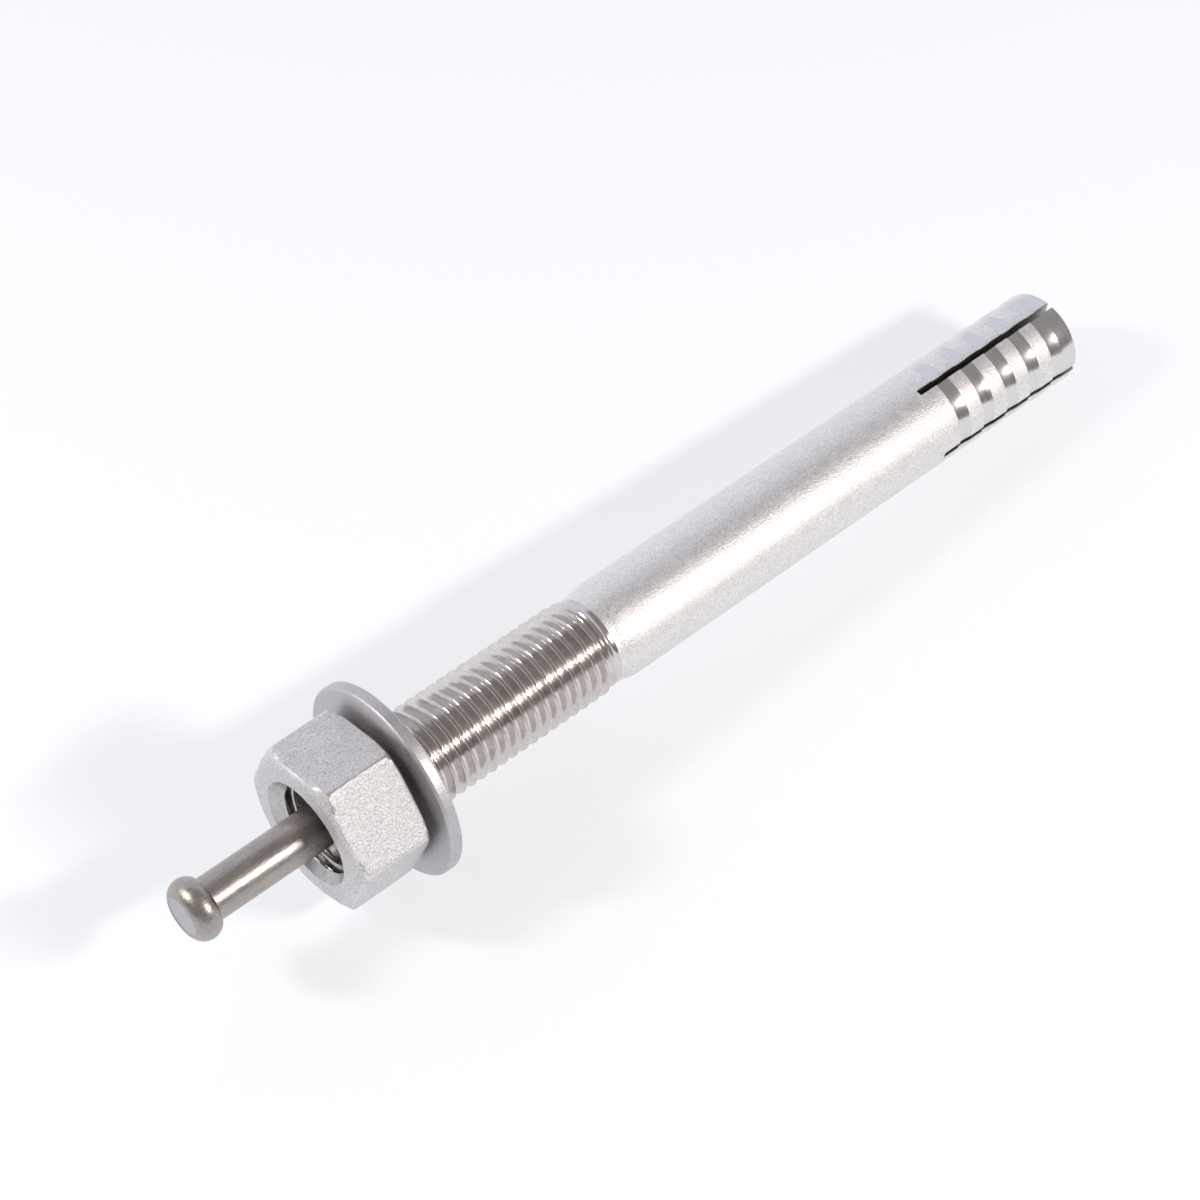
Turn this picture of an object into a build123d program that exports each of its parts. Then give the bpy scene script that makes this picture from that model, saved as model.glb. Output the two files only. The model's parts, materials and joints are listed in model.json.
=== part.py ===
from build123d import *
from math import asin, atan2, cos, hypot, radians, sin, sqrt, tan
import os

os.makedirs("parts", exist_ok=True)

# A hammer-set expansion anchor, lying as it comes to rest: on the rim of its washer and on
# the edge of its expansion end. All sizes are millimetres. A station is a distance along the
# anchor's own axis from the end of the threaded stud, positive towards the expansion end.

# Anchor body
body_length = 150.0
shank_diameter = 16.0
stud_diameter = 15.9  # over the crests of the M16 thread
stud_length = 48.7
stud_chamfer = 1.3
neck_diameter = 14.9  # where the thread runs out
neck_length = 1.4
shoulder_length = 4.1  # round rise from the neck to the shank
bore_mouth_chamfer = 0.7

# Rolled thread, right-handed, with a small flat on each crest
thread_pitch = 2.0
thread_depth = 1.15
thread_crest = 0.24
thread_flank = 30.0  # degrees from square to the axis
thread_start = -1.089  # station of the groove's middle where it starts, straight up
thread_runout = 1.0  # from the middle of the groove's end to the end of the stud's full width
thread_overcut = 0.1  # by which its cutter stands out of the crests

# Expansion end: crossed slots split the shank into legs, and ring grooves give it grip
slot_length = 31.2
slot_width = 1.0
slot_turn = 7.0  # degrees from straight up to the first slot, towards -Y
groove_count = 5
groove_width = 2.6
groove_depth = 0.2  # on the stud's side, from where it rises to nothing
groove_pitch = 5.5
end_land = 3.1  # plain ring between the last groove and the end
end_rounding = 0.4

# Drive pin, a headed rod that stands out of the stud until it is hammered in
pin_diameter = 6.9
pin_stand_out = 22.95  # from the end of the stud to the underside of the head
head_diameter = 9.9
head_length = 4.05
head_flat_diameter = 6.7
head_underside_diameter = 8.4
tip_diameter = 3.0
tip_taper = 5.0
pin_clearance = 0.08  # between the pin and its bore, on the radius
solid_end = 9.0  # length of the body beyond the tip of the pin when it is hammered right in

# Hexagon nut
nut_flats = 24.0
nut_height = 12.5
nut_recess = 5.1  # how far the end of the stud lies inside the nut
nut_turn = 18.4  # degrees from straight up to one corner, towards -Y
nut_face_diameter = 23.5  # of the round flat that the chamfer leaves on each end
nut_chamfer_slope = 0.577  # fall along the axis for each millimetre outwards
nut_countersink = 0.6
nut_blank_margin = 1.0  # by which the chamfered outline runs on past the corners, on the radius
thread_clearance = 0.05  # between the stud and the nut's plain bore, on the radius

# Flat washer
washer_diameter = 32.0
washer_hole_diameter = 17.0
washer_thickness = 3.0
washer_rounding = 0.4
washer_front_rounding = 1.0  # of the rim on the nut's side
washer_gap = 0.5  # along the stud, from the nut to the loose washer

# Stations
nut_front = -nut_recess
nut_rear = nut_front + nut_height
washer_front = nut_rear + washer_gap
washer_rear = washer_front + washer_thickness
head_underside = -pin_stand_out
head_face = head_underside - head_length
neck_end = stud_length + neck_length
shank_start = neck_end + shoulder_length
slot_root = body_length - slot_length
pin_length = body_length - solid_end  # under the head, which sits on the stud's end when driven

# Radii
shank_radius = shank_diameter / 2
stud_radius = stud_diameter / 2
neck_radius = neck_diameter / 2
pin_radius = pin_diameter / 2
tip_radius = tip_diameter / 2
washer_radius = washer_diameter / 2

# Rest: the rear rim of the washer and the rim of the end touch the ground. Each rim is a
# small circle about its rounding's centre, and the ground is the line under both circles,
# so the axis leans down towards the expansion end.
washer_rim = (washer_rear - washer_rounding, washer_radius - washer_rounding)
end_rim = (body_length - end_rounding, shank_radius - end_rounding)
rim_distance = end_rim[0] - washer_rim[0]
rim_drop = washer_rim[1] - end_rim[1]
rounding_share = (washer_rounding - end_rounding) / hypot(rim_distance, rim_drop)
lean = atan2(rim_drop, rim_distance) + asin(rounding_share)
stud_end_height = washer_rim[0] * sin(lean) + washer_rim[1] * cos(lean) + washer_rounding

# The origin is on the ground, under the middle of the whole length
low_end = head_face * cos(lean) - head_flat_diameter / 2 * sin(lean)
high_end = end_rim[0] * cos(lean) + end_rim[1] * sin(lean) + end_rounding
stud_end = (-(low_end + high_end) / 2, 0, stud_end_height)
along = (cos(lean), 0, -sin(lean))
upward = (sin(lean), 0, cos(lean))
axis_line = Axis(stud_end, along)

# Turned profiles are drawn here as (station, radius)
lengthwise = Plane(origin=stud_end, x_dir=along, z_dir=(0, -1, 0))


def across(station):
    """The plane square to the axis at a station: its x points up and its y to the -Y side."""
    centre = Vector(stud_end) + Vector(along) * station
    return Plane(origin=centre, x_dir=upward, z_dir=along)


# Anchor body: one turned and bored piece, split at its far end. The bore fits the pin as it
# stands when it is hammered right in.
saw_width = 2 * shank_diameter  # each slot is sawn right across
bore_radius = pin_radius + pin_clearance
bore_end = pin_length + pin_clearance
groove_last = body_length - end_land - groove_width
groove_starts = [groove_last - step * groove_pitch for step in range(groove_count)]

# The thread is one helical groove, with a flat root, between the crests. Its path is made of
# edges about a turn long, which keeps the faces short.
root_radius = stud_radius - thread_depth
cutter_radius = stud_radius + thread_overcut
flank_slope = tan(radians(thread_flank))
half_root = (thread_pitch - thread_crest) / 2 - thread_depth * flank_slope
half_top = half_root + (cutter_radius - root_radius) * flank_slope
thread_end = stud_length - thread_runout
thread_length = thread_end - thread_start
thread_turns = round(thread_length / thread_pitch)
thread_line = (across(thread_start) * Helix(thread_pitch, thread_length, root_radius)).edge()
thread_path = Wire(
    [
        thread_line.trim(turn / thread_turns, (turn + 1) / thread_turns)
        for turn in range(thread_turns)
    ]
)

with BuildPart() as anchor_body:
    with BuildSketch(lengthwise):
        with BuildLine():
            Polyline(
                (bore_end, 0),
                (bore_end, tip_radius + pin_clearance),
                (pin_length - tip_taper, bore_radius),
                (bore_mouth_chamfer, bore_radius),
                (0, bore_radius + bore_mouth_chamfer),
                (0, stud_radius - stud_chamfer),
                (stud_chamfer, stud_radius),
                (stud_length, stud_radius),
                (stud_length, neck_radius),
                (neck_end, neck_radius),
            )
            TangentArc((shank_start, shank_radius), (neck_end, neck_radius), tangent=(-1, 0))
            Line((shank_start, shank_radius), (end_rim[0], shank_radius))
            TangentArc((end_rim[0], shank_radius), (body_length, end_rim[1]), tangent=(1, 0))
            Polyline((body_length, end_rim[1]), (body_length, 0), (bore_end, 0))
        make_face()
    revolve(axis=axis_line)

    # each ring groove steps down on the stud's side and rises in an arc to its far edge
    for start in groove_starts:
        far_edge = start + groove_width
        with BuildSketch(lengthwise):
            with BuildLine():
                Polyline(
                    (start, shank_radius - groove_depth),
                    (start, shank_diameter),
                    (far_edge, shank_diameter),
                    (far_edge, shank_radius),
                )
                TangentArc(
                    (start, shank_radius - groove_depth), (far_edge, shank_radius), tangent=(1, 0)
                )
            make_face()
        revolve(axis=axis_line, mode=Mode.SUBTRACT)

    with BuildSketch(across(slot_root)):
        Rectangle(saw_width, slot_width, rotation=slot_turn)
        Rectangle(slot_width, saw_width, rotation=slot_turn)
    extrude(amount=slot_length, mode=Mode.SUBTRACT)

    with BuildSketch(lengthwise) as thread_section:
        with BuildLine():
            Polyline(
                (thread_start - half_root, root_radius),
                (thread_start - half_top, cutter_radius),
                (thread_start + half_top, cutter_radius),
                (thread_start + half_root, root_radius),
                close=True,
            )
        make_face()
    sweep(thread_section.sketch, thread_path, is_frenet=True, mode=Mode.SUBTRACT)

# Drive pin: barrel-shaped head, plain rod and tapered tip
tip_station = head_underside + pin_length

with BuildPart() as drive_pin:
    with BuildSketch(lengthwise):
        with BuildLine():
            Polyline(
                (head_underside, pin_radius),
                (tip_station - tip_taper, pin_radius),
                (tip_station, tip_radius),
                (tip_station, 0),
                (head_face, 0),
                (head_face, head_flat_diameter / 2),
            )
            ThreePointArc(
                (head_face, head_flat_diameter / 2),
                ((head_face + head_underside) / 2, head_diameter / 2),
                (head_underside, head_underside_diameter / 2),
            )
            Line((head_underside, head_underside_diameter / 2), (head_underside, pin_radius))
        make_face()
    revolve(axis=axis_line)

# Hexagon nut: a hexagonal bar cut to a turned outline that is chamfered inside and out
nut_bore_radius = stud_radius + thread_clearance
nut_mouth_radius = nut_bore_radius + nut_countersink
nut_face_radius = nut_face_diameter / 2
nut_blank_radius = nut_flats / sqrt(3) + nut_blank_margin
nut_chamfer_fall = (nut_blank_radius - nut_face_radius) * nut_chamfer_slope

with BuildPart() as hex_nut:
    with BuildSketch(across(nut_front)):
        RegularPolygon(nut_flats / 2, 6, major_radius=False, rotation=nut_turn)
    extrude(amount=nut_height)
    with BuildSketch(lengthwise):
        with BuildLine():
            Polyline(
                (nut_front, nut_mouth_radius),
                (nut_front, nut_face_radius),
                (nut_front + nut_chamfer_fall, nut_blank_radius),
                (nut_rear - nut_chamfer_fall, nut_blank_radius),
                (nut_rear, nut_face_radius),
                (nut_rear, nut_mouth_radius),
                (nut_rear - nut_countersink, nut_bore_radius),
                (nut_front + nut_countersink, nut_bore_radius),
                close=True,
            )
        make_face()
    revolve(axis=axis_line, mode=Mode.INTERSECT)

# Flat washer: a punched ring with eased edges
washer_hole_radius = washer_hole_diameter / 2
washer_middle = (
    (washer_front + washer_rear) / 2,
    (washer_hole_radius + washer_radius) / 2,
)

with BuildPart() as flat_washer:
    with BuildSketch(lengthwise) as washer_section:
        with Locations(washer_middle):
            Rectangle(washer_thickness, washer_radius - washer_hole_radius)
        corners = washer_section.vertices().sort_by(Axis.X)
        front_rim = corners[:2].sort_by(Axis.Y)[-1]
        fillet([corner for corner in corners if corner != front_rim], radius=washer_rounding)
        front_rim = washer_section.vertices().sort_by(Axis.X)[:2].sort_by(Axis.Y)[-1]
        fillet(front_rim, radius=washer_front_rounding)
    revolve(axis=axis_line)

pieces = {
    "anchor_body": anchor_body,
    "drive_pin": drive_pin,
    "hex_nut": hex_nut,
    "flat_washer": flat_washer,
}
for name, piece in pieces.items():
    piece.part.label = name
    export_step(piece.part, f"parts/{name}.step")
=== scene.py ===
import json
import math

import bmesh
import bpy
import numpy as np
from mathutils import Matrix, Vector


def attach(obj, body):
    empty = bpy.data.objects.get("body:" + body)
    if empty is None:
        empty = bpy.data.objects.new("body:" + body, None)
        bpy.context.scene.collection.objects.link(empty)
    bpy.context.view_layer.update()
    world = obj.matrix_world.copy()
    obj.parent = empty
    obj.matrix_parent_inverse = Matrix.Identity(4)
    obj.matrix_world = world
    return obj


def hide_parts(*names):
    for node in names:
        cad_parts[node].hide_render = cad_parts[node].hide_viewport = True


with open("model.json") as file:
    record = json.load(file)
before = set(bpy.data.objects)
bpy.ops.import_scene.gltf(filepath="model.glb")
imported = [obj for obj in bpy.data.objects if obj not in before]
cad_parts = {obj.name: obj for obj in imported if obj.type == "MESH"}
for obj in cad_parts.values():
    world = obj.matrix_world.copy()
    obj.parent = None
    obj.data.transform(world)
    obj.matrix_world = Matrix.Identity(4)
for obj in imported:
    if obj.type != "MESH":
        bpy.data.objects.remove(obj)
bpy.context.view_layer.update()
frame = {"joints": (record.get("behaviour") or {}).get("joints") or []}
print("frame loaded")

# Shapes are worked out in millimetres about the anchor's own axis. A station is a distance
# along it from the end of the stud, and an angle is turned from straight up to the -Y side.
# The nut's joint gives the axis, and lies in the middle of the nut.
perMetre = 1000  # millimetres
nutFront, nutHeight = -5.1, 12.5
nutRear = nutFront + nutHeight
nutSpin = next(joint for joint in frame["joints"] if joint["name"] == "nut_spin")
along = np.array(nutSpin["axis"]) / np.linalg.norm(nutSpin["axis"])
sideways = np.array([0.0, -1.0, 0.0])
upward = np.cross(sideways, along)
studEnd = np.array(nutSpin["pos_m"]) * perMetre - along * (nutFront + nutHeight / 2)


# The stud's end, plus the axis times the station, plus the radius times the direction that
# the angle turns from up to the side.
def aboutAxis(station, radius, angle):
    station, radius, angle = np.broadcast_arrays(station, radius, angle)
    outward = np.cos(angle)[..., None] * upward + np.sin(angle)[..., None] * sideways
    return studEnd + station[..., None] * along + radius[..., None] * outward


# The lower of two heights, less a small square term where they come within the blend.
def softLower(a, b, blend):
    return np.minimum(a, b) - np.maximum(blend - np.abs(a - b), 0) ** 2 / (4 * blend)


# The higher of two heights in the same way, by turning both upside down.
def softHigher(a, b, blend):
    return -softLower(-a, -b, blend)


meshing = {
    "weld": 1e-6,  # metres, between points that become one
    "shortest": 1e-7,  # metres, of an edge that stays
    "sharpAngle": 28.0,  # degrees, past which an edge isn't smoothed over
}


# Each four neighbours in a grid of points make a face. The grids' shared edges are welded,
# which also closes rings and poles, and the faces are turned outwards. A grid's finish is its
# place in the list of materials, and its rubbing and highlight value says how far each point is
# rubbed, and how far its colour is lightened into a painted highlight.
def makePiece(name, body, node, grids, materials):
    points, faces, finishes, rubAndHighlight, first = [], [], [], [], 0
    for grid in grids:
        rows, columns = grid["points"].shape[:2]
        index = first + np.arange(rows * columns).reshape(rows, columns)
        quads = np.stack(
            (index[:-1, :-1], index[:-1, 1:], index[1:, 1:], index[1:, :-1]), axis=-1
        )
        faces.append(quads.reshape(-1, 4))
        finish = np.broadcast_to(grid.get("finish", 0), (rows - 1, columns - 1))
        finishes.append(finish.ravel())
        rubAndHighlight.append(np.broadcast_to(grid.get("rubAndHighlight", 0.0), (rows, columns)).ravel())
        points.append(grid["points"].reshape(-1, 3))
        first += rows * columns
    mesh = bpy.data.meshes.new(name)
    mesh.from_pydata(np.concatenate(points) / perMetre, [], np.concatenate(faces))
    mesh.polygons.foreach_set("material_index", np.concatenate(finishes).astype(np.int32))
    rubAndHighlightLayer = mesh.attributes.new("rubAndHighlight", "FLOAT", "POINT")
    rubAndHighlightLayer.data.foreach_set("value", np.concatenate(rubAndHighlight).astype(np.float32))
    shape = bmesh.new()
    shape.from_mesh(mesh)
    bmesh.ops.remove_doubles(shape, verts=shape.verts, dist=meshing["weld"])
    bmesh.ops.dissolve_degenerate(shape, dist=meshing["shortest"], edges=shape.edges)
    bmesh.ops.recalc_face_normals(shape, faces=shape.faces)
    openEdges = sum(not edge.is_manifold for edge in shape.edges)
    shape.to_mesh(mesh)
    volume = shape.calc_volume() * perMetre**3
    shape.free()
    mesh.shade_smooth()
    mesh.set_sharp_from_angle(angle=math.radians(meshing["sharpAngle"]))
    for material in materials:
        mesh.materials.append(material)
    piece = bpy.data.objects.new(name, mesh)
    bpy.context.scene.collection.objects.link(piece)
    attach(piece, body)
    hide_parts(node)
    print(f"{name}: {len(mesh.polygons)} faces, {openEdges} open edges, {volume:.0f} mm3")


# What all the finishes share
noiseLook = {
    "grainDetail": 2.0,
    "grainRoughness": 0.6,
    "mottleDetail": 3.0,
    "colourRange": (0.35, 0.65),  # of the grain; the top gains half the mottle's share
    "roughnessRange": (0.3, 0.7),  # of the mottle, from the least roughness to the most
    "rubbedRelief": 0.12,  # share of the relief that rubbing leaves
}


# Metal finishes. Two noises read Object coordinates, stretched along X and then turned by the
# lean of the axis, so the stretch runs along X, which is 3.3 degrees off the axis. The fine
# grain lifts the surface, the mottle spreads the roughness, and the colour is darkest where
# the grain plus the mottle's share is lowest.
def steel(name, finish):
    material = bpy.data.materials.new(name)
    material.use_nodes = True
    nodes, links = material.node_tree.nodes, material.node_tree.links
    shader = nodes["Principled BSDF"]
    shader.inputs["Metallic"].default_value = 1.0
    place = nodes.new("ShaderNodeTexCoord")
    inLine = nodes.new("ShaderNodeMapping")
    inLine.inputs["Rotation"].default_value = (0, math.asin(along[2]), 0)
    inLine.inputs["Scale"].default_value = finish["stretch"]
    links.new(place.outputs["Object"], inLine.inputs["Vector"])

    grain = nodes.new("ShaderNodeTexNoise")
    grain.inputs["Scale"].default_value = finish["grainScale"]
    grain.inputs["Detail"].default_value = noiseLook["grainDetail"]
    grain.inputs["Roughness"].default_value = noiseLook["grainRoughness"]
    links.new(inLine.outputs["Vector"], grain.inputs["Vector"])
    mottle = nodes.new("ShaderNodeTexNoise")
    mottle.inputs["Scale"].default_value = finish["mottleScale"]
    mottle.inputs["Detail"].default_value = noiseLook["mottleDetail"]
    links.new(inLine.outputs["Vector"], mottle.inputs["Vector"])

    both = nodes.new("ShaderNodeMath")
    both.operation = "MULTIPLY_ADD"
    both.inputs[1].default_value = finish["mottleShare"]
    links.new(mottle.outputs["Fac"], both.inputs[0])
    links.new(grain.outputs["Fac"], both.inputs[2])

    # a vector's sockets go by number, because they share their names with a single value's
    low, high = noiseLook["colourRange"]
    colour = nodes.new("ShaderNodeMapRange")
    colour.data_type = "FLOAT_VECTOR"
    colour.inputs[7].default_value = (low,) * 3
    colour.inputs[8].default_value = (high + finish["mottleShare"] / 2,) * 3
    colour.inputs[9].default_value = finish["lowColour"]
    colour.inputs[10].default_value = finish["colour"]
    links.new(both.outputs["Value"], colour.inputs[6])
    tone = colour.outputs["Vector"]

    rough = nodes.new("ShaderNodeMapRange")
    for socket, value in zip(("From Min", "From Max"), noiseLook["roughnessRange"]):
        rough.inputs[socket].default_value = value
    for socket, value in zip(("To Min", "To Max"), finish["roughness"]):
        rough.inputs[socket].default_value = value
    links.new(mottle.outputs["Fac"], rough.inputs["Value"])
    roughness = rough.outputs["Result"]

    bump = nodes.new("ShaderNodeBump")
    bump.inputs["Distance"].default_value = finish["relief"] / perMetre
    bump.inputs["Strength"].default_value = 1.0
    links.new(grain.outputs["Fac"], bump.inputs["Height"])
    if "polishedRoughness" in finish:  # rubbed edges have less grain and roughness, and a paler colour that is a painted highlight
        rubAndHighlightMask = nodes.new("ShaderNodeAttribute")
        rubAndHighlightMask.attribute_name = "rubAndHighlight"
        mix = nodes.new("ShaderNodeMix")
        mix.inputs["B"].default_value = finish["polishedRoughness"]
        links.new(rubAndHighlightMask.outputs["Fac"], mix.inputs["Factor"])
        links.new(roughness, mix.inputs["A"])
        roughness = mix.outputs["Result"]
        kept = nodes.new("ShaderNodeMapRange")
        kept.inputs["To Min"].default_value = 1.0
        kept.inputs["To Max"].default_value = noiseLook["rubbedRelief"]
        links.new(rubAndHighlightMask.outputs["Fac"], kept.inputs["Value"])
        links.new(kept.outputs["Result"], bump.inputs["Strength"])
        # the paler colour mixed in on rubbed edges is a painted highlight
        highlightTint = nodes.new("ShaderNodeMix")
        highlightTint.data_type = "RGBA"
        highlightTint.inputs[7].default_value = (*finish["paintedHighlightColour"], 1)
        links.new(rubAndHighlightMask.outputs["Fac"], highlightTint.inputs["Factor"])
        links.new(tone, highlightTint.inputs[6])
        tone = highlightTint.outputs[2]
    links.new(tone, shader.inputs["Base Color"])
    links.new(roughness, shader.inputs["Roughness"])
    links.new(bump.outputs["Normal"], shader.inputs["Normal"])
    return material


# Anchor body
bodyShape = {
    "length": 150.0,
    "shankRadius": 8.0,
    "neckRadius": 7.45,
    "neckStart": 49.3,
    "neckEnd": 50.1,
    "neckBlend": 0.12,
    "shankStart": 54.2,
    "boreRadius": 3.53,
    "boreTaper": 136.0,
    "boreTip": (141.0, 1.58),
    "boreEnd": 141.08,
    "mouthChamfer": 0.7,
    "slotRoot": 118.8,
    "slotWidth": 1.0,
    "slotTurn": 5.0,  # degrees
    "sawEdge": 0.09,  # broken edge along each slot
    "sawEdgeRun": 0.25,  # from the slot's root to where that edge is whole
    "legsApart": 1.0001,  # keeps the legs' inner corners from meeting
    "grooves": [144.3 - 5.5 * step for step in range(5)],  # where each steps down
    "grooveWidth": 2.6,
    "grooveDepth": 0.2,
    "grooveStep": 0.12,
    "turnedFrom": 146.9,
    "endRound": 0.4,
    "legColumns": 22,
    "sideRows": 4,
    "faceRow": 5.5,  # radius of a row on the stud's end
    "neckRow": 0.2,  # from one row to the next
    "riseRow": 0.25,
    "shankRows": 60,
    "legRow": 121.0,  # station of a row before the grooves
    "grooveRows": 8,
    "besideGroove": 0.15,  # to a row on each side
    "endRows": 7,
    "boreRows": 24,
}
blasted, rolled, turned, sawn = range(4)  # places in the body's list of finishes
thread = {
    "pitch": 2.0,
    "crestStation": 16.2,
    "crestAngle": 52.0,  # degrees, where a crest is at that station
    "crestRadius": 7.95,
    "rootRadius": 6.8,
    "crestFlat": 0.07,  # half of it
    "flankSlope": math.sqrt(3),  # fall for each millimetre along the axis, on a 60 degree thread
    "blend": 0.1,
    "chamferFrom": 6.65,  # the stud's radius on its end face
    "fade": (46.2, 49.3),
    "rowsPerTurn": 24,
}


# How far a point lies past the nearest crest, along the axis: the station, less the pitch
# for each full turn of the angle, brought to within half a pitch of a crest.
def pastCrest(station, angle):
    turns = (angle - math.radians(thread["crestAngle"])) / (2 * math.pi)
    steps = (station - thread["crestStation"]) / thread["pitch"] - turns
    return np.abs(steps - np.round(steps)) * thread["pitch"]


# The flanks fall from the crest's flat down to the root, rounded at both. The height above the
# neck fades where the thread runs out, and a cone cuts the stud's end.
def studRadius(station, angle):
    past = pastCrest(station, angle) - thread["crestFlat"]
    flank = thread["crestRadius"] - past * thread["flankSlope"]
    ridge = softLower(flank, thread["crestRadius"], thread["blend"])
    ridge = softHigher(ridge, thread["rootRadius"], 2 * thread["blend"])
    start, end = thread["fade"]
    fade = np.clip((end - station) / (end - start), 0, 1)
    fade = fade * fade * (3 - 2 * fade)
    ridge = bodyShape["neckRadius"] + fade * (ridge - bodyShape["neckRadius"])
    return np.minimum(ridge, thread["chamferFrom"] + station)


# Rows follow the helix: each is a steady distance past a crest, and is held between the two
# stations, where the rows run together into rings.
def helixRows(angle, first, last, rowsPerTurn):
    pitch = thread["pitch"]
    turns = (angle - math.radians(thread["crestAngle"])) / (2 * math.pi)
    low = math.floor((first - thread["crestStation"]) / pitch - turns.max()) - 1
    high = math.ceil((last - thread["crestStation"]) / pitch - turns.min()) + 1
    steps = np.arange(low * rowsPerTurn, high * rowsPerTurn + 1) / rowsPerTurn
    station = thread["crestStation"] + pitch * (steps[:, None] + turns[None, :])
    return np.clip(station, first, last)


# Straight up plus the slots' turn, plus a quarter turn for each slot.
def slotAngle(quarter):
    return math.radians(bodyShape["slotTurn"]) + quarter * math.pi / 2


# The section's angles at a radius: in each quarter the slot's edges lie where half the slot's
# width is the radius times the sine of the angle, and the leg's arc is shared out evenly
# between them.
def quarterAngles(radius, quarter):
    half = np.arcsin(bodyShape["slotWidth"] / 2 / np.asarray(radius, float))[..., None]
    share = np.arange(bodyShape["legColumns"] + 1) / bodyShape["legColumns"]
    leg = half + (math.pi / 2 - 2 * half) * share
    return slotAngle(quarter) + np.concatenate((-half, 0 * half, leg), axis=-1)


# The four quarters' angles in turn, closed by the first one a full turn on.
def ringAngles(radius):
    quarters = [quarterAngles(radius, quarter) for quarter in range(4)]
    return np.concatenate(quarters + [quarters[0][..., :1] + 2 * math.pi], axis=-1)


# The neck, then an arc that meets the shank in line with it, then the shank.
def shankRadius(station):
    neck, shank = bodyShape["neckRadius"], bodyShape["shankRadius"]
    rise, run = shank - neck, bodyShape["shankStart"] - bodyShape["neckEnd"]
    arc = (run**2 + rise**2) / (2 * rise)
    back = np.maximum(bodyShape["shankStart"] - station, 0)
    curve = shank - arc + np.sqrt(np.maximum(arc**2 - back**2, 0))
    rising = softHigher(curve, neck, bodyShape["neckBlend"])
    return np.where(station < bodyShape["shankStart"], rising, shank)


# The shank, less each groove, which drops over its step and then rises as the square of the
# way to its far edge, and a round fall at the end.
def legRadius(station):
    width, depth, step = (bodyShape["groove" + part] for part in ("Width", "Depth", "Step"))
    radius = np.full_like(station, bodyShape["shankRadius"])
    for start in bodyShape["grooves"]:
        into = station - start
        fall = np.clip(into / step, 0, 1) * (1 - (np.clip(into, 0, width) / width) ** 2)
        radius = radius - depth * fall
    roll = bodyShape["endRound"]
    past = np.maximum(station - (bodyShape["length"] - roll), 0)
    return radius - roll + np.sqrt(np.maximum(roll**2 - past**2, 0))


# One leg: its section's outline at each station, out along the arc, in along one sawn side,
# back along the bore's arc, and out along the other side.
def legGrid(quarter):
    length, width = bodyShape["length"], bodyShape["slotWidth"]
    tip, tipRadius = bodyShape["boreTip"]
    root, edgeRun = bodyShape["slotRoot"], bodyShape["sawEdgeRun"]
    groove, beside = bodyShape["grooveWidth"], bodyShape["besideGroove"]
    step, rows = bodyShape["grooveStep"], bodyShape["grooveRows"]
    into = np.append([0, step / 2, step], np.arange(1, rows + 1) / rows * groove)
    stations = [root, root + edgeRun, bodyShape["legRow"]]
    for start in bodyShape["grooves"]:
        stations += [start - beside, *(start + into), start + groove + beside]
    stations += [bodyShape["boreTaper"], tip, bodyShape["boreEnd"]]
    roll = bodyShape["endRound"]
    endTurns = np.linspace(0, math.pi / 2, bodyShape["endRows"])
    stations += list(length - roll + roll * np.sin(endTurns))
    stations = np.unique(np.round([s for s in stations if s <= length], 6))
    corner = width / 2 * math.sqrt(2) * bodyShape["legsApart"]
    inner = np.interp(
        stations,
        (bodyShape["boreTaper"], tip, bodyShape["boreEnd"]),
        (bodyShape["boreRadius"], tipRadius, tipRadius),
    )
    inner = np.where(stations > bodyShape["boreEnd"], corner, inner)

    # the bore ends in a step, so two rows stand at its station
    repeat = np.searchsorted(stations, bodyShape["boreEnd"])
    stations = np.insert(stations, repeat + 1, bodyShape["boreEnd"])
    inner = np.insert(inner, repeat + 1, corner)
    outer = legRadius(stations)
    edge = bodyShape["sawEdge"] * np.clip((stations - root) / edgeRun, 0, 1)

    arcAngles = quarterAngles(outer, quarter)[:, 2:]
    middle = arcAngles.mean(axis=1, keepdims=True)
    shrink = 1 - (edge / outer)[:, None] / (arcAngles[:, -1:] - middle)
    arc = aboutAxis(stations[:, None], outer[:, None], middle + (arcAngles - middle) * shrink)
    boreArc = aboutAxis(stations[:, None], inner[:, None], quarterAngles(inner, quarter)[:, 2:])

    share = np.linspace(0, 1, bodyShape["sideRows"] + 1)
    high = np.sqrt(outer**2 - width**2 / 4) - edge
    low = np.sqrt(inner**2 - width**2 / 4)
    depth = high[:, None] + (low - high)[:, None] * share
    slot = slotAngle(quarter)
    sides = []
    for turn, lateral in ((slot, width / 2), (slot + math.pi / 2, -width / 2)):
        angle = turn + np.arctan2(lateral, depth)
        sides.append(aboutAxis(stations[:, None], np.hypot(depth, lateral), angle))
    near, far = sides
    outline = np.concatenate((arc, far, boreArc[:, ::-1], near[:, ::-1], arc[:, :1]), axis=1)

    # the grooves, the end and the broken edges are turned, the saw's faces and the bore sawn
    between = (stations[1:] + stations[:-1]) / 2
    bright = between > bodyShape["turnedFrom"]
    for start in bodyShape["grooves"]:
        into = between - start
        bright |= (into > 0) & (into < groove)
    finish = np.full((len(stations) - 1, outline.shape[1] - 1), sawn)
    finish[:, : bodyShape["legColumns"]] = np.where(bright, turned, blasted)[:, None]
    finish[:, [bodyShape["legColumns"], -1]] = turned

    # the end face, drawn in from the arc to the corner, and its two sawn borders
    outerEnd, innerEnd = arc[-1][None], boreArc[-1][None]
    cap = outerEnd + (innerEnd - outerEnd) * share[:, None, None]
    cap = np.concatenate((near[-1][:, None], cap, far[-1][:, None]), axis=1)
    return [
        {"points": outline, "finish": finish},
        {"points": cap, "finish": turned},
    ]


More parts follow.
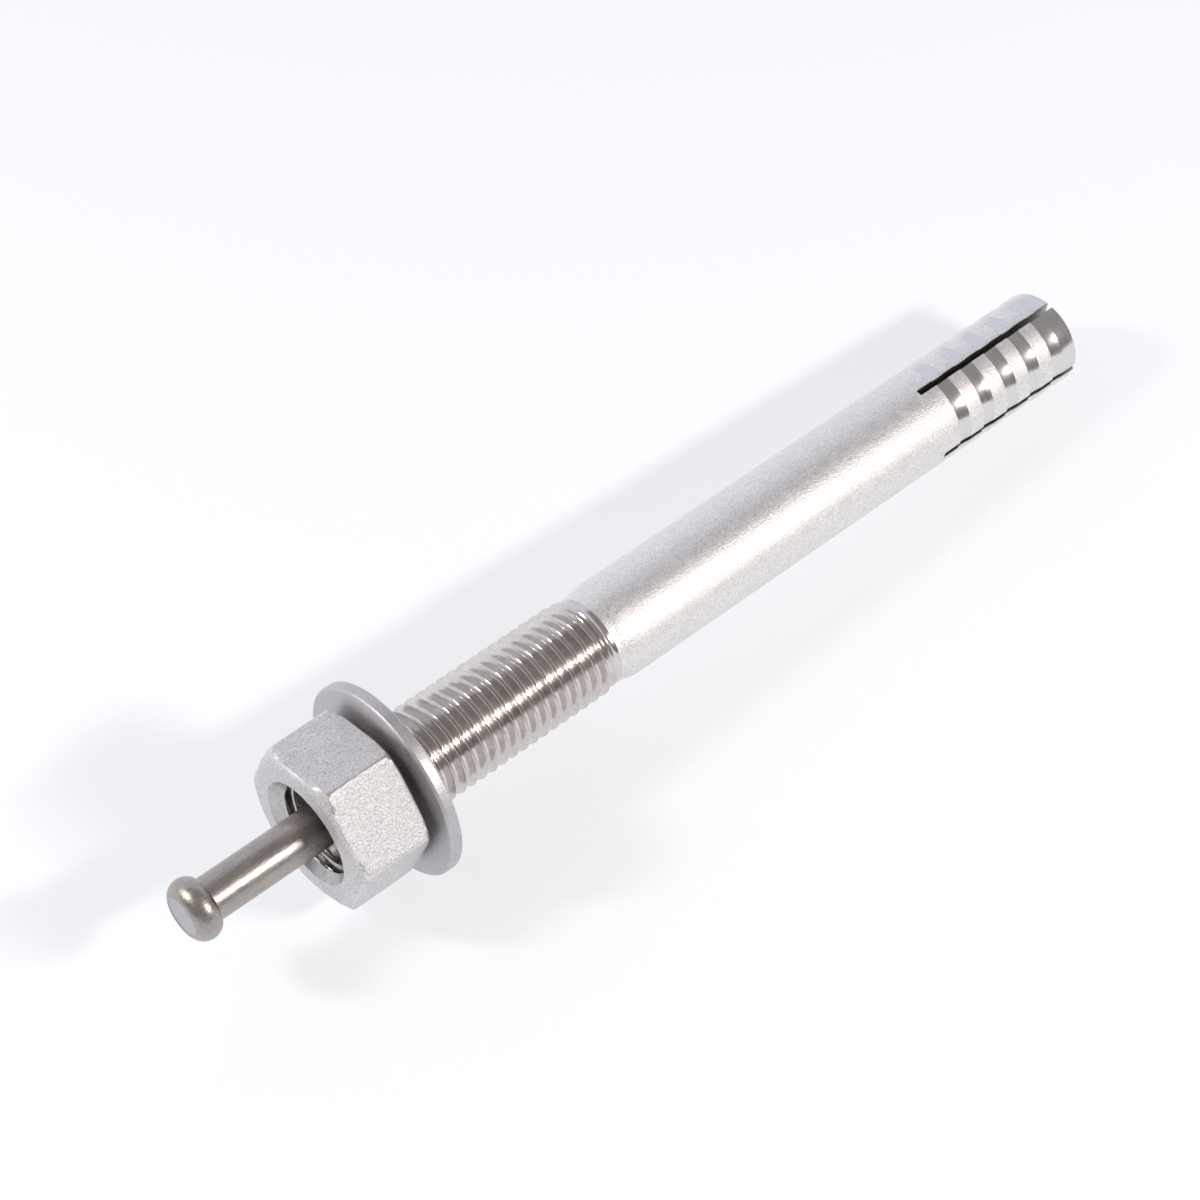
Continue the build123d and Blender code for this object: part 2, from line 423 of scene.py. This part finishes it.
# The flat floor of a slot: straight lines from the shank's skin in to the bore. The square of
# the radius is the depth's square plus that of the distance from the slot's middle.
def slotFloor(quarter):
    width = bodyShape["slotWidth"]
    lateral = np.array([-width / 2, 0, width / 2])[None, :]
    share = np.linspace(0, 1, bodyShape["sideRows"] + 1)[:, None]
    high = np.sqrt(bodyShape["shankRadius"] ** 2 - lateral**2)
    low = np.sqrt(bodyShape["boreRadius"] ** 2 - lateral**2)
    depth = high + (low - high) * share
    angle = slotAngle(quarter) + np.arctan2(lateral, depth)
    points = aboutAxis(bodyShape["slotRoot"], np.hypot(depth, lateral), angle)
    return {"points": points, "finish": sawn}


# The threaded stud, the neck and shank, the stud's face with the bore behind it, then the legs.
def bodyGrids():
    skinAngles = ringAngles(bodyShape["shankRadius"])
    boreAngles = ringAngles(bodyShape["boreRadius"])
    angle = np.broadcast_to(skinAngles, (1, len(skinAngles)))
    studStations = helixRows(skinAngles, 0.0, bodyShape["neckStart"], thread["rowsPerTurn"])
    stud = aboutAxis(studStations, studRadius(studStations, angle), angle)
    neckEnd, shankStart, root = (bodyShape[at] for at in ("neckEnd", "shankStart", "slotRoot"))
    neckStations = np.arange(bodyShape["neckStart"], neckEnd, bodyShape["neckRow"])
    riseStations = np.arange(neckEnd, shankStart, bodyShape["riseRow"])
    shankStations = np.linspace(shankStart, root, bodyShape["shankRows"])
    stations = np.concatenate((neckStations, riseStations, shankStations))[:, None]
    shank = aboutAxis(stations, shankRadius(stations), angle)
    mouth = bodyShape["boreRadius"] + bodyShape["mouthChamfer"]
    faceRadii = np.array([thread["chamferFrom"], bodyShape["faceRow"], mouth])
    face = aboutAxis(0.0, faceRadii[:, None], angle)
    boreStations = np.linspace(bodyShape["mouthChamfer"], root, bodyShape["boreRows"])
    bore = aboutAxis(boreStations[:, None], bodyShape["boreRadius"], boreAngles[None])
    grids = [
        {"points": stud, "finish": rolled},
        {"points": shank, "finish": blasted},
        {"points": np.concatenate((face, bore)), "finish": sawn},
    ]
    for quarter in range(4):
        grids += legGrid(quarter) + [slotFloor(quarter)]
    return grids


blastedSteel = steel(
    "blastedSteel",
    {
        "colour": (0.95, 0.935, 0.94),
        "lowColour": (0.64, 0.60, 0.58),
        "roughness": (0.40, 0.48),
        "grainScale": 3800.0,
        "mottleScale": 900.0,
        "mottleShare": 0.2,
        "relief": 0.10,
        "stretch": (1.0, 1.0, 1.0),
    },
)
rolledSteel = steel(
    "rolledSteel",
    {
        "colour": (0.70, 0.66, 0.64),
        "lowColour": (0.57, 0.53, 0.51),
        "roughness": (0.14, 0.22),
        "grainScale": 900.0,
        "mottleScale": 260.0,
        "mottleShare": 0.5,
        "relief": 0.004,
        "stretch": (1.0, 1.0, 1.0),
    },
)
turnedSteel = steel(
    "turnedSteel",
    {
        "colour": (0.73, 0.72, 0.725),
        "lowColour": (0.64, 0.625, 0.62),
        "roughness": (0.16, 0.24),
        "grainScale": 500.0,
        "mottleScale": 120.0,
        "mottleShare": 0.3,
        "relief": 0.004,
        "stretch": (8.0, 0.6, 0.6),
    },
)
sawnSteel = steel(
    "sawnSteel",
    {
        "colour": (0.42, 0.41, 0.40),
        "lowColour": (0.26, 0.25, 0.245),
        "roughness": (0.30, 0.45),
        "grainScale": 1400.0,
        "mottleScale": 400.0,
        "mottleShare": 0.4,
        "relief": 0.012,
        "stretch": (0.5, 2.0, 2.0),
    },
)
makePiece(
    "AnchorBody",
    "anchor",
    "anchor_body",
    bodyGrids(),
    [blastedSteel, rolledSteel, turnedSteel, sawnSteel],
)


# Hexagon nut
nutShape = {
    "halfFlats": 12.0,
    "turn": 18.4,  # degrees, of one corner
    "faceRadius": (11.6, 12.6),  # front, rear
    "chamferSlope": (0.5, 0.7),
    "cornerRound": (0.75, 1.1),  # in the middle of the height, and more at its ends
    "cornerGrowth": 4,  # power by which it grows towards them
    "edgeRoll": 0.5,
    "blend": 0.35,
    "mouthRadius": 8.7,
    "mouthSlope": 1.05,
    "mouthBlend": 0.1,
    "threadLoose": (0.06, 0.14),  # clearance round the stud's flanks, and round its root
    "rubAndHighlightStart": 0.018,  # depth below the sharp hexagon where the rubbing and the painted highlight start
    "rubAndHighlightRise": 0.12,  # and how much deeper it is full
    "rubAndHighlightDepth": 0.2,  # beyond this depth it fades, and it is gone at twice the depth
    "columnsPerFlat": 24,
    "sideRows": 25,
    "rollRows": 5,
    "faceRows": 5,
    "rowsPerTurn": 18,
}


# The angles of the columns: from each flat's middle, 30 degrees on from a corner, they close up
# towards its corners as a sine does.
def nutAngles():
    share = np.arange(nutShape["columnsPerFlat"]) / nutShape["columnsPerFlat"] * 2 - 1
    fromMiddle = np.sin(share * math.pi / 2) * math.pi / 6
    middles = math.radians(nutShape["turn"] + 30) + np.arange(6)[:, None] * math.pi / 3
    angle = (middles + fromMiddle).ravel()
    local = np.tile(fromMiddle, 6)
    return np.append(angle, angle[0] + 2 * math.pi), np.append(local, local[0])


# A flat at its distance over the cosine of the angle, and near a corner the far side of the
# circle that touches both flats.
def roundedHexagon(local, cornerRound):
    flat = nutShape["halfFlats"]
    middle = (flat - cornerRound) / math.cos(math.pi / 6)
    fromCorner = math.pi / 6 - np.abs(local)
    touch = np.arctan(math.tan(math.pi / 6) * (flat - cornerRound) / flat)
    across = np.maximum(cornerRound**2 - (middle * np.sin(fromCorner)) ** 2, 0)
    corner = middle * np.cos(fromCorner) + np.sqrt(across)
    return np.where(np.abs(local) < touch, flat / np.cos(local), corner)


# The rounded hexagon, held inside a cone that opens from each end.
def nutSide(station, local):
    fromMiddle = np.abs(station - nutFront - nutHeight / 2) / (nutHeight / 2)
    least, more = nutShape["cornerRound"]
    side = roundedHexagon(local, least + more * fromMiddle ** nutShape["cornerGrowth"])
    cones = (
        nutShape["faceRadius"][0] + (station - nutFront) / nutShape["chamferSlope"][0],
        nutShape["faceRadius"][1] + (nutRear - station) / nutShape["chamferSlope"][1],
    )
    for cone in cones:
        side = softLower(side, cone, nutShape["blend"])
    return side


# The nut's thread stands a little outside the stud's: the same flanks, moved out by the
# clearance, cut back by a cone at each mouth.
def nutBore(station, angle):
    loose, looseRoot = nutShape["threadLoose"]
    past = pastCrest(station, angle) - thread["crestFlat"]
    flank = thread["crestRadius"] + 2 * loose - past * thread["flankSlope"]
    ridge = softLower(flank, thread["crestRadius"] + loose, thread["blend"])
    ridge = softHigher(ridge, thread["rootRadius"] + looseRoot, thread["blend"])
    inside = np.minimum(station - nutFront, nutRear - station)
    cone = nutShape["mouthRadius"] - inside / nutShape["mouthSlope"]
    return softHigher(ridge, cone, nutShape["mouthBlend"])


# The outside in one grid, from the front face's mouth over the side to the rear face's, and
# the threaded bore between the two mouths.
def nutGrids():
    angle, local = nutAngles()
    roll = nutShape["edgeRoll"]
    angle, local = angle[None], local[None]
    sideStations = np.linspace(nutFront + roll, nutRear - roll, nutShape["sideRows"])[:, None]
    side = nutSide(sideStations, local)
    share = np.linspace(0, 1, nutShape["rollRows"] + 2)[1:-1, None]

    # the roll from a face to the side: a curve pulled towards the corner between them
    def rollEdge(faceStation, sideStation):
        edge = nutSide(np.array([[faceStation]]), local)
        at = nutSide(np.array([[sideStation]]), local)
        station = share**2 * sideStation + (1 - share**2) * faceStation
        radius = (1 - share) ** 2 * (edge - roll) + 2 * share * (1 - share) * edge + share**2 * at
        return np.broadcast_to(station, radius.shape), radius, edge - roll

    frontStations, frontRadii, frontRim = rollEdge(nutFront, nutFront + roll)
    rearStations, rearRadii, rearRim = rollEdge(nutRear, nutRear - roll)
    mouth = np.broadcast_to(nutShape["mouthRadius"], frontRim.shape)
    faceShare = np.linspace(0, 1, nutShape["faceRows"])[:, None]
    frontFace = mouth + (frontRim - mouth) * faceShare
    rearFace = (mouth + (rearRim - mouth) * faceShare)[::-1]
    radius = np.concatenate((frontFace, frontRadii, side, rearRadii[::-1], rearFace))
    station = np.concatenate(
        (
            np.full_like(frontFace, nutFront),
            frontStations,
            np.broadcast_to(sideStations, side.shape),
            rearStations[::-1],
            np.full_like(rearFace, nutRear),
        )
    )

    # the corners and edges are rubbed, and lightened by a painted highlight, where they lie a
    # little below the sharp hexagon
    depth = nutShape["halfFlats"] / np.cos(local) - radius
    rubAndHighlightMask = np.clip((depth - nutShape["rubAndHighlightStart"]) / nutShape["rubAndHighlightRise"], 0, 1)
    rubAndHighlight = rubAndHighlightMask * np.clip(2 - depth / nutShape["rubAndHighlightDepth"], 0, 1)
    rubAndHighlight[: len(frontFace) - 1] = 0
    rubAndHighlight[-len(rearFace) + 1 :] = 0
    boreStations = helixRows(angle[0], nutFront, nutRear, nutShape["rowsPerTurn"])
    bore = aboutAxis(boreStations, nutBore(boreStations, angle), angle)
    return [
        {"points": aboutAxis(station, radius, angle), "rubAndHighlight": rubAndHighlight},
        {"points": bore, "finish": 1},
    ]


nutSteel = steel(
    "nutSteel",
    {
        "colour": (0.82, 0.805, 0.825),
        "lowColour": (0.46, 0.45, 0.46),
        "roughness": (0.55, 0.62),
        "grainScale": 3600.0,
        "mottleScale": 800.0,
        "mottleShare": 0.2,
        "relief": 0.08,
        "stretch": (1.0, 1.0, 1.0),
        "polishedRoughness": 0.30,
        # a paler colour on the rubbed edges and corners: a painted highlight
        "paintedHighlightColour": (0.80, 0.79, 0.81),
    },
)
cutThreadSteel = steel(
    "cutThreadSteel",
    {
        "colour": (0.52, 0.50, 0.49),
        "lowColour": (0.40, 0.38, 0.37),
        "roughness": (0.16, 0.26),
        "grainScale": 1200.0,
        "mottleScale": 300.0,
        "mottleShare": 0.4,
        "relief": 0.005,
        "stretch": (1.0, 1.0, 1.0),
    },
)
makePiece("HexNut", "nut", "hex_nut", nutGrids(), [nutSteel, cutThreadSteel])

# Flat washer
washerShape = {
    "front": 8.8,
    "thickness": 2.0,
    "radius": 16.0,
    "holeRadius": 8.5,
    "frontRoll": (0.4, 0.5),  # along the axis, across it
    "rearRoll": (0.25, 0.3),
    "holeRoll": (0.3, 0.3),
    "rollRows": 8,
    "besideRoll": 0.12,  # to a row on each side
    "columns": 160,
}


# A turned piece is its profile of stations and radii carried round the axis.
def turnedGrid(stations, radii, columns, finish=0):
    angle = np.linspace(0, 2 * math.pi, columns + 1)[None]
    points = aboutAxis(np.asarray(stations)[:, None], np.asarray(radii)[:, None], angle)
    return {"points": points, "finish": finish}


# The section is a rectangle whose corners are quarters of an ellipse, taken round in turn from
# the rear of the rim. One more row stands on the flat before each corner and one after it, so
# that the flats stay flat in the shading.
def washerGrids():
    front, rear = washerShape["front"], washerShape["front"] + washerShape["thickness"]
    outer, hole = washerShape["radius"], washerShape["holeRadius"]
    corners = (
        (rear, outer, -1, -1, washerShape["rearRoll"]),
        (front, outer, 1, -1, washerShape["frontRoll"]),
        (front, hole, 1, 1, washerShape["holeRoll"]),
        (rear, hole, -1, 1, washerShape["holeRoll"]),
    )
    beside = washerShape["besideRoll"]
    back = ((0, -beside), (beside, 0), (0, beside), (-beside, 0))
    onward = ((-beside, 0), (0, -beside), (beside, 0), (0, beside))
    stations, radii = [], []
    for quarter, (station, radius, inAlong, inAcross, roll) in enumerate(corners):
        turn = quarter * math.pi / 2 + np.linspace(0, math.pi / 2, washerShape["rollRows"])
        rollStations = station + inAlong * roll[0] + roll[0] * np.cos(turn)
        rollRadii = radius + inAcross * roll[1] + roll[1] * np.sin(turn)
        before, after = back[quarter], onward[quarter]
        stations += [rollStations[0] + before[0], *rollStations, rollStations[-1] + after[0]]
        radii += [rollRadii[0] + before[1], *rollRadii, rollRadii[-1] + after[1]]
    stations.append(stations[0])
    radii.append(radii[0])
    return [turnedGrid(stations, radii, washerShape["columns"])]


washerSteel = steel(
    "washerSteel",
    {
        "colour": (0.62, 0.61, 0.63),
        "lowColour": (0.46, 0.445, 0.45),
        "roughness": (0.44, 0.54),
        "grainScale": 3400.0,
        "mottleScale": 420.0,
        "mottleShare": 0.4,
        "relief": 0.05,
        "stretch": (1.0, 1.0, 1.0),
    },
)
makePiece("FlatWasher", "washer", "flat_washer", washerGrids(), [washerSteel])

# Drive pin
pinShape = {
    "face": -27.0,
    "underside": -22.95,
    "faceRadius": 3.35,
    "dishRadius": 3.0,
    "dishDepth": 0.12,
    "dishRow": 1.6,  # radius of a row in the dish
    "rimRows": 9,
    "rimPower": 0.8,  # below 1 makes the rim round the dish fuller
    "barrelMiddle": (-24.95, 4.95),
    "barrelRows": 25,
    "undersideRadius": 4.2,
    "undersideRow": 0.25,  # out from the rod
    "rootEase": (0.12, 0.1),  # along, out
    "rodRadius": 3.45,
    "rodFrom": 0.4,  # from the underside to the rod's first row
    "rodRows": 40,
    "length": 141.0,
    "tipRadius": 1.5,
    "tipEase": (0.2, 0.15, 0.1),  # along, and out and in from the tip's radius
    "taper": 5.0,
    "columns": 96,
}


# The circle through three points of the profile, as an arc from the first to the last.
def arcThrough(first, middle, last, steps):
    (ax, ay), (bx, by), (cx, cy) = first, middle, last
    twice = 2 * (ax * (by - cy) + bx * (cy - ay) + cx * (ay - by))
    a2, b2, c2 = ax * ax + ay * ay, bx * bx + by * by, cx * cx + cy * cy
    x = (a2 * (by - cy) + b2 * (cy - ay) + c2 * (ay - by)) / twice
    y = (a2 * (cx - bx) + b2 * (ax - cx) + c2 * (bx - ax)) / twice
    start, end = math.atan2(ay - y, ax - x), math.atan2(cy - y, cx - x)
    turn = np.linspace(start, end, steps)
    radius = math.hypot(ax - x, ay - y)
    return x + radius * np.cos(turn), y + radius * np.sin(turn)


# The profile runs from the dish's middle over its rim and the barrel, in under the head, along
# the rod and over the tip. The rim falls as a power of the sine of half its turn.
def pinGrids():
    face, underside = pinShape["face"], pinShape["underside"]
    rod, tip = pinShape["rodRadius"], underside + pinShape["length"]
    dish, dishRadius = face + pinShape["dishDepth"], pinShape["dishRadius"]
    turn = np.linspace(0, math.pi, pinShape["rimRows"])
    rimWidth = pinShape["faceRadius"] - dishRadius
    rimStations = dish - pinShape["dishDepth"] * np.sin(turn / 2) ** pinShape["rimPower"]
    rimRadii = dishRadius + rimWidth * (turn / math.pi)
    barrelStations, barrelRadii = arcThrough(
        (face, pinShape["faceRadius"]),
        pinShape["barrelMiddle"],
        (underside, pinShape["undersideRadius"]),
        pinShape["barrelRows"],
    )
    easeAlong, easeOut = pinShape["rootEase"]
    stations = [dish, dish, *rimStations, *barrelStations[1:]]
    stations += [underside, underside, underside + easeAlong]
    radii = [0, pinShape["dishRow"], *rimRadii, *barrelRadii[1:]]
    radii += [rod + pinShape["undersideRow"], rod + easeOut, rod]
    tipRadius, (tipAlong, tipOut, tipIn) = pinShape["tipRadius"], pinShape["tipEase"]
    rodRows, rodFrom = pinShape["rodRows"], underside + pinShape["rodFrom"]
    rodStations = np.linspace(rodFrom, tip - pinShape["taper"], rodRows)
    stations += [*rodStations, tip - tipAlong, tip, tip]
    radii += [*np.full(rodRows, rod), tipRadius + tipOut, tipRadius - tipIn, 0]
    finish = np.zeros((len(stations) - 1, 1), int)
    finish[:2] = 1  # the dish, which the hammer strikes
    return [turnedGrid(stations, radii, pinShape["columns"], finish)]


pinSteel = steel(
    "pinSteel",
    {
        "colour": (0.46, 0.425, 0.40),
        "lowColour": (0.29, 0.265, 0.245),
        "roughness": (0.30, 0.40),
        "grainScale": 2600.0,
        "mottleScale": 500.0,
        "mottleShare": 0.5,
        "relief": 0.03,
        "stretch": (0.5, 1.6, 1.6),
    },
)
struckSteel = steel(
    "struckSteel",
    {
        "colour": (0.50, 0.49, 0.53),
        "lowColour": (0.40, 0.39, 0.42),
        "roughness": (0.34, 0.44),
        "grainScale": 2600.0,
        "mottleScale": 500.0,
        "mottleShare": 0.4,
        "relief": 0.02,
        "stretch": (1.0, 1.0, 1.0),
    },
)
makePiece("DrivePin", "pin", "drive_pin", pinGrids(), [pinSteel, struckSteel])

# Camera, as fitted to the rims and outlines in the photograph
camera = {
    "place": (-0.18919, -0.20038, 0.37493),
    "right": (0.7432, -0.66906, -0.00262),
    "up": (0.53337, 0.59009, 0.60606),
    "lens": 89.34,
    "sensor": 36.0,
    "clip": (0.01, 20.0),
}
eye = bpy.data.cameras.new("Camera")
eye.lens, eye.sensor_width = camera["lens"], camera["sensor"]
eye.clip_start, eye.clip_end = camera["clip"]
viewer = bpy.data.objects.new("Camera", eye)
right = Vector(camera["right"]).normalized()
ahead = Vector(camera["up"]).cross(right).normalized()
top = right.cross(ahead)
turn = Matrix((right, top, -ahead)).transposed()
viewer.matrix_world = Matrix.Translation(camera["place"]) @ turn.to_4x4()
bpy.context.scene.collection.objects.link(viewer)
bpy.context.scene.camera = viewer

# Floor: lit paper with its shadows, in which the camera and reflections see a share of plain
# white
floorLook = {"size": 8.0, "colour": (0.87, 0.92, 1.0), "glow": (1.0, 1.0, 1.0), "share": 0.57}


# Flat faces on given corners, for what isn't part of the object.
def sheetMesh(name, corners, faces=((0, 1, 2, 3),)):
    mesh = bpy.data.meshes.new(name)
    mesh.from_pydata(corners, [], faces)
    sheet = bpy.data.objects.new(name, mesh)
    bpy.context.scene.collection.objects.link(sheet)
    return sheet


half = floorLook["size"] / 2
floorCorners = [(-half, -half, 0), (half, -half, 0), (half, half, 0), (-half, half, 0)]
floor = sheetMesh("Floor", floorCorners)
paper = bpy.data.materials.new("whitePaper")
paper.use_nodes = True
nodes, links = paper.node_tree.nodes, paper.node_tree.links
nodes.clear()
rays = nodes.new("ShaderNodeLightPath")
either = nodes.new("ShaderNodeMath")
either.operation = "MAXIMUM"
links.new(rays.outputs["Is Camera Ray"], either.inputs[0])
links.new(rays.outputs["Is Glossy Ray"], either.inputs[1])
clear = nodes.new("ShaderNodeMath")
clear.operation = "MAXIMUM"
links.new(either.outputs[0], clear.inputs[0])
links.new(rays.outputs["Is Transmission Ray"], clear.inputs[1])
share = nodes.new("ShaderNodeMath")
share.operation = "MULTIPLY"
share.inputs[1].default_value = floorLook["share"]
links.new(clear.outputs[0], share.inputs[0])
matte = nodes.new("ShaderNodeBsdfDiffuse")
matte.inputs["Color"].default_value = (*floorLook["colour"], 1)
glow = nodes.new("ShaderNodeEmission")
glow.inputs["Color"].default_value = (*floorLook["glow"], 1)
glow.inputs["Strength"].default_value = 1.0
mixed = nodes.new("ShaderNodeMixShader")
links.new(share.outputs[0], mixed.inputs["Fac"])
links.new(matte.outputs[0], mixed.inputs[1])
links.new(glow.outputs[0], mixed.inputs[2])
surface = nodes.new("ShaderNodeOutputMaterial")
links.new(mixed.outputs[0], surface.inputs["Surface"])
floor.data.materials.append(paper)

# Cards that the camera doesn't see, black but for a faint glow: a dark one low on the camera's
# right, beyond the light, and a dim tent over the camera's side of the table. Its slanting
# edge leaves the pale room behind.
cardRoughness = 0.9
cards = {
    "DarkCard": {
        "corners": [
            (-0.5, -0.85, 0.02),
            (0.9, -0.85, 0.02),
            (0.9, -0.85, 0.42),
            (-0.5, -0.85, 0.42),
        ],
        "faces": [(0, 1, 2, 3)],
        "glow": (0.22, 0.20, 0.19),
    },
    "DimTent": {
        "corners": [
            (3.0, -0.4, 1.1),
            (-3.0, 2.1, 1.1),
            (-3.0, -3.5, 1.1),
            (3.0, -3.5, 1.1),
            (-3.0, 1.0, 0.0),
            (-3.0, -3.5, 0.0),
            (3.0, -3.5, 0.0),
            (3.0, -1.3, 0.0),
        ],
        "faces": [(0, 1, 2, 3), (1, 4, 5, 2), (2, 5, 6, 3), (3, 6, 7, 0)],
        "glow": (0.33, 0.312, 0.305),
    },
}
for name, look in cards.items():
    card = sheetMesh(name, look["corners"], look["faces"])
    felt = bpy.data.materials.new(name[0].lower() + name[1:])
    felt.use_nodes = True
    shader = felt.node_tree.nodes["Principled BSDF"]
    shader.inputs["Base Color"].default_value = (0, 0, 0, 1)
    shader.inputs["Roughness"].default_value = cardRoughness
    shader.inputs["Emission Color"].default_value = (*look["glow"], 1)
    shader.inputs["Emission Strength"].default_value = 1.0
    card.data.materials.append(felt)
    card.visible_camera = False

# Lamps: a long box low on the camera's right, a fill in the same place that the metal doesn't
# mirror, and a smaller box on the left, behind
lamps = {
    "RightBox": {
        "place": (0.24, -0.52, 0.42),
        "size": (0.22, 0.05),
        "power": 2.2,
        "colour": (1.0, 0.965, 0.92),
        "mirrored": True,
    },
    "RightFill": {
        "place": (0.24, -0.52, 0.42),
        "size": (0.14, 0.05),
        "power": 1.4,
        "colour": (1.0, 0.95, 0.88),
        "mirrored": False,
    },
    "LeftBox": {
        "place": (-0.336, 0.213, 0.344),
        "size": (0.07, 0.08),
        "power": 1.1,
        "colour": (1.0, 0.95, 0.89),
        "mirrored": True,
    },
}
for name, look in lamps.items():
    box = bpy.data.lights.new(name, "AREA")
    box.shape = "RECTANGLE"
    box.size, box.size_y = look["size"]
    box.energy, box.color = look["power"], look["colour"]
    lamp = bpy.data.objects.new(name, box)
    lamp.location = look["place"]
    away = Vector(look["place"]).normalized()
    sideOf = Vector((1, 0, 0)) - away * away.x
    sideOf.normalize()
    lamp.rotation_euler = Matrix((sideOf, away.cross(sideOf), away)).transposed().to_euler()
    lamp.visible_camera = False
    lamp.visible_glossy = look["mirrored"]
    bpy.context.scene.collection.objects.link(lamp)

# Room: pale all round
room = {"colour": (0.82, 0.855, 0.94)}
world = bpy.data.worlds.new("Studio")
bpy.context.scene.world = world
world.use_nodes = True
world.node_tree.nodes["Background"].inputs["Color"].default_value = (*room["colour"], 1)
bpy.context.scene.view_settings.view_transform = "Standard"
print("stage set")
